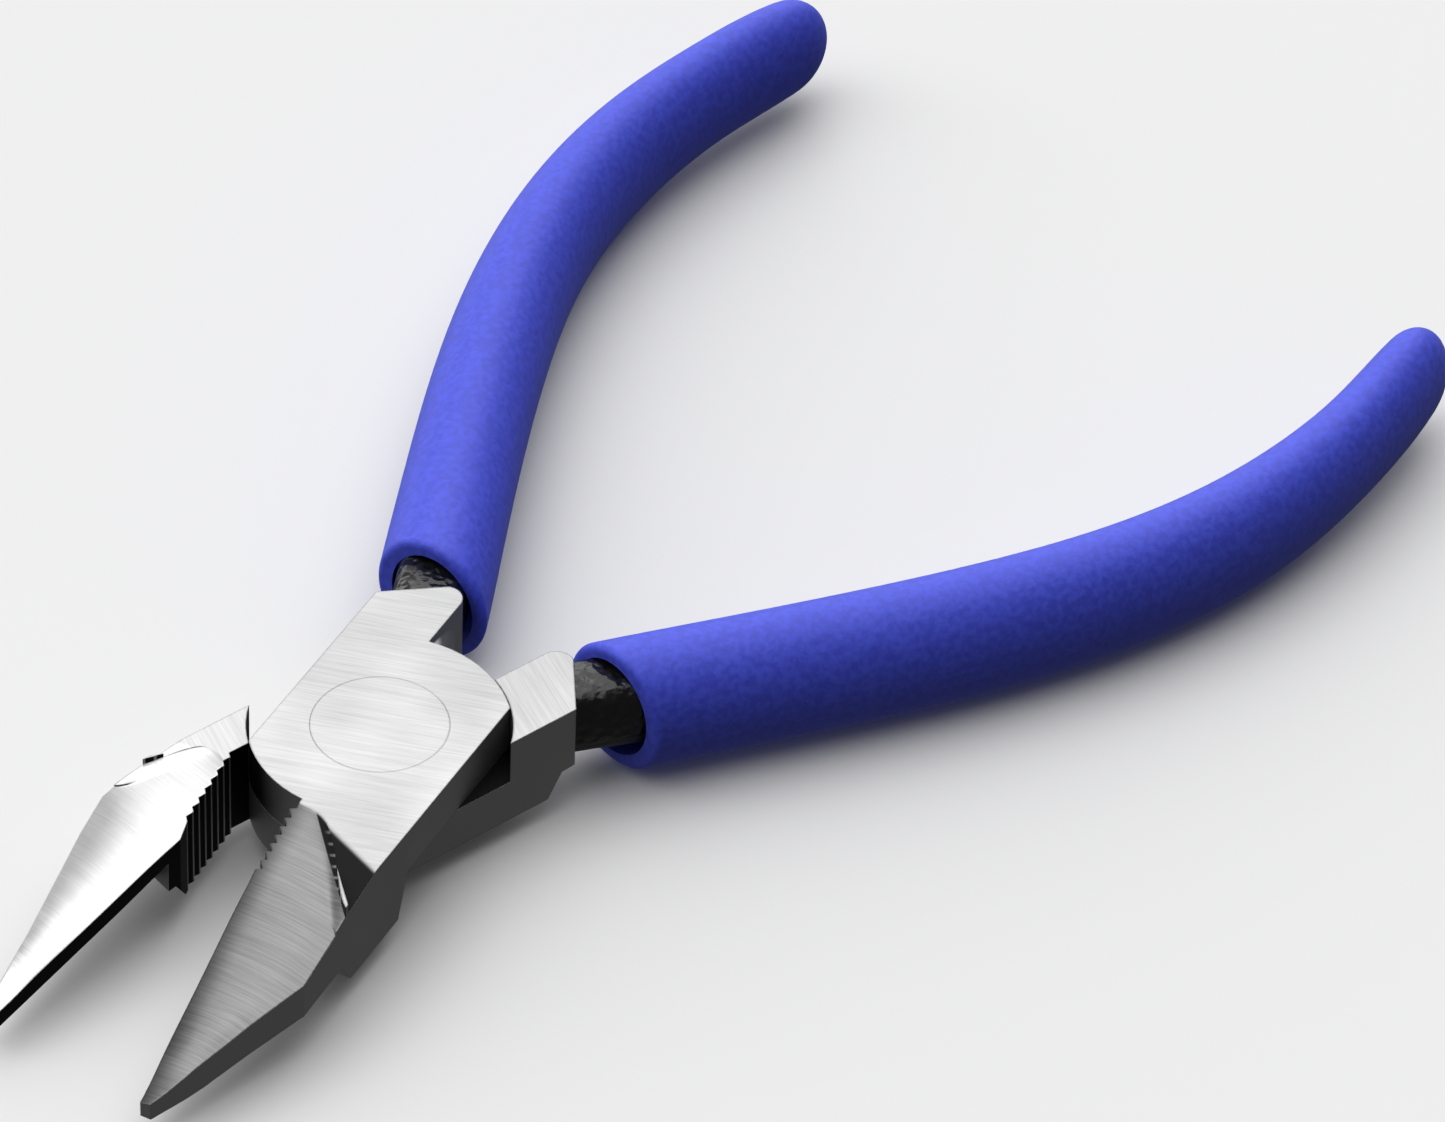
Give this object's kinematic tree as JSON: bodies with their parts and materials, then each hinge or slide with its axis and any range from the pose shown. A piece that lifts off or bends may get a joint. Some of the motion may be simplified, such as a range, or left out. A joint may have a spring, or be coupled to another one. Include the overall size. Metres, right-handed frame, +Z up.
{
  "type": "sprue nippers",
  "caption": "Hand-held sprue nippers: two forged steel halves on a flush pivot rivet, tapered cutting jaws with toothed roots, and curved handles in soft blue sleeves.",
  "frame": {"origin": "where the pivot axis meets the flat underside of the joint", "axes": "+X along the centre line towards the jaw tips, +Z up the pivot axis through the top face of the joint, +Y to the side of the upper half's jaw"},
  "size_m": [0.1483, 0.0844, 0.013],
  "materials": {
    "ground_steel": "ground and brushed, satin, dark grey on the unground side walls",
    "rivet_steel": "ground flush and brushed with the joint face",
    "black_coat": "glossy dipped coat with a bumpy surface",
    "blue_vinyl": "soft royal blue vinyl with a fine pebbled grain"
  },
  "bodies": {
    "upper_half": {"upper_jaw_half": "ground_steel", "pivot_rivet": "rivet_steel", "upper_tang_coat": "black_coat", "upper_grip_sleeve": "blue_vinyl"},
    "lower_half": {"lower_jaw_half": "ground_steel", "lower_tang_coat": "black_coat", "lower_grip_sleeve": "blue_vinyl"}
  },
  "joints": [
    {"name": "pivot", "type": "hinge", "parent": "upper_half", "child": "lower_half", "pos_m": [0, 0, 0.0045], "axis": [0, 0, 1], "range_deg": [-17, 21.2]}
  ]
}
